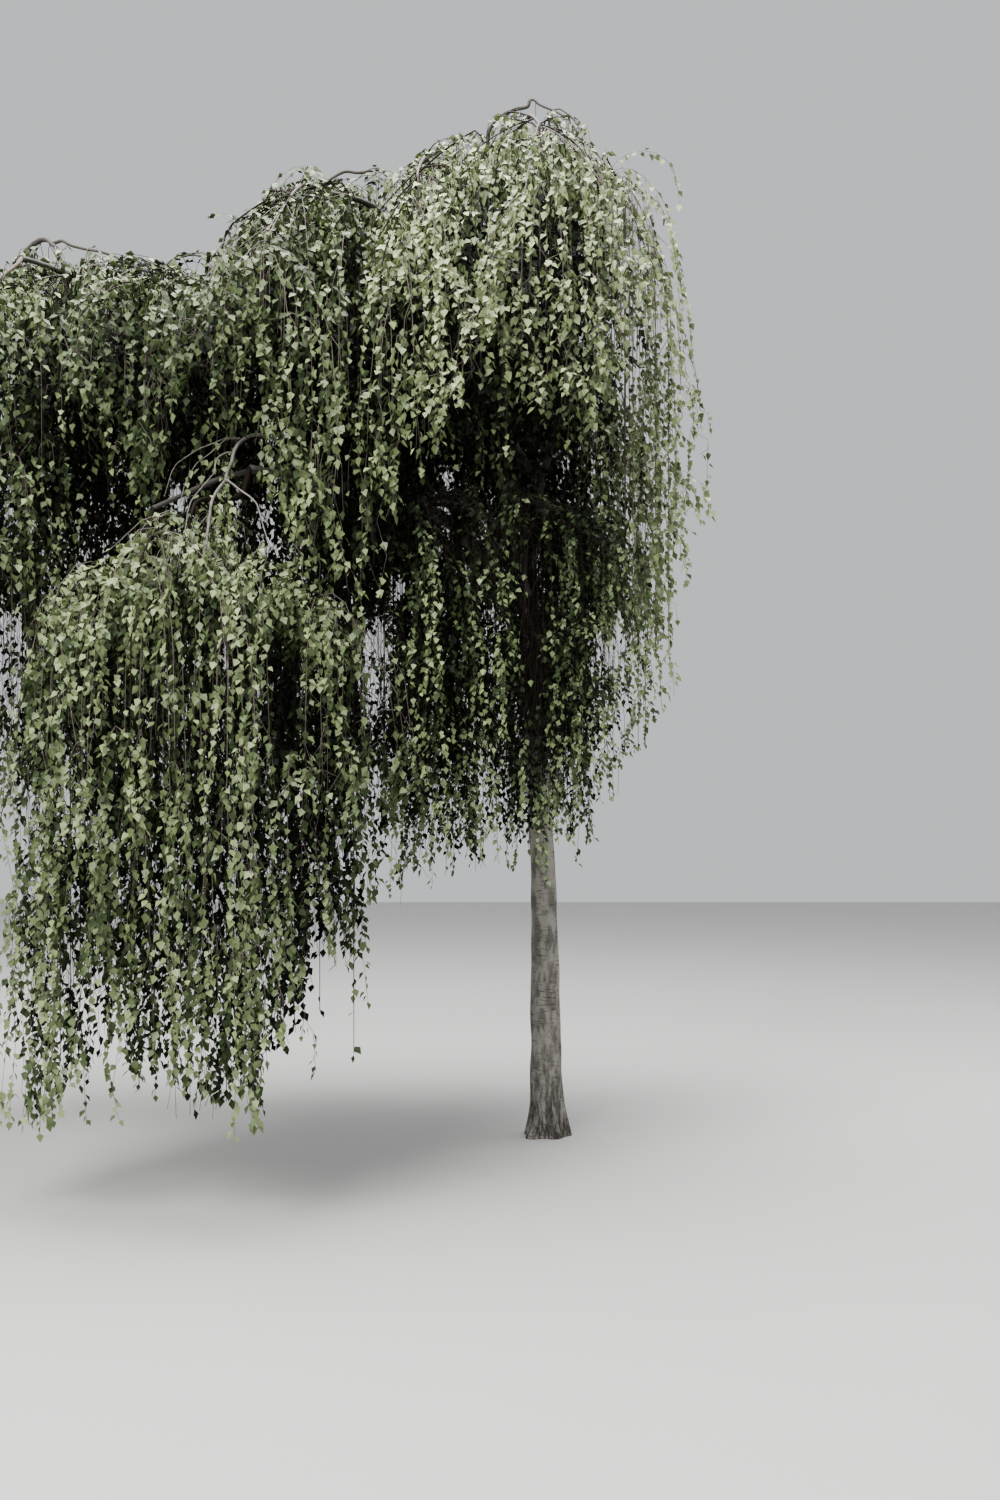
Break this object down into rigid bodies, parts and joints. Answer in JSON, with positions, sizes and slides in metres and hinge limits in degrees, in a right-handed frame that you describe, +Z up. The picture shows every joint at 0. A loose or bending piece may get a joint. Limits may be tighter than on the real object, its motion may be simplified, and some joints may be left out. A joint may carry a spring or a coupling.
{
  "type": "weeping birch tree",
  "caption": "Whole weeping tree: a leaning trunk, boughs that arch over from its top, and curtains of leafy twigs hanging from them round an open space.",
  "frame": {"origin": "middle of the flat cut under the trunk, at ground level", "axes": "+Z up, +X to the right as the tree is faced from the picture's side, +Y to its back"},
  "size_m": [5.0286, 3.9739, 5.406],
  "materials": {
    "bark": "rough",
    "leaves": "satin"
  },
  "bodies": {
    "root": {"bough_back": "bark", "bough_back_crown": "bark", "bough_far_left": "bark", "bough_far_left_front": "bark", "bough_leader": "bark", "bough_left": "bark", "bough_left_arch": "bark", "bough_left_back": "bark", "bough_left_front": "bark", "bough_low": "bark", "bough_low_front_left": "bark", "bough_low_front_right": "bark", "bough_low_middle": "bark", "bough_low_right": "bark", "bough_middle": "bark", "bough_middle_back": "bark", "bough_middle_front": "bark", "bough_middle_left": "bark", "bough_right_back": "bark", "bough_right_back_side": "bark", "bough_right_front": "bark", "bough_right_front_inner": "bark", "bough_right_side": "bark", "foliage_back_crown": "leaves", "foliage_back_left": "leaves", "foliage_far_left": "leaves", "foliage_far_left_front": "leaves", "foliage_left_back": "leaves", "foliage_left_crown": "leaves", "foliage_left_front": "leaves", "foliage_low_front": "leaves", "foliage_low_front_left": "leaves", "foliage_low_front_right": "leaves", "foliage_low_middle": "leaves", "foliage_low_right": "leaves", "foliage_middle_back": "leaves", "foliage_middle_crown": "leaves", "foliage_middle_front": "leaves", "foliage_middle_left": "leaves", "foliage_right_back": "leaves", "foliage_right_back_side": "leaves", "foliage_right_crown": "leaves", "foliage_right_front": "leaves", "foliage_right_front_inner": "leaves", "foliage_right_side": "leaves", "trunk": "bark"}
  },
  "joints": []
}
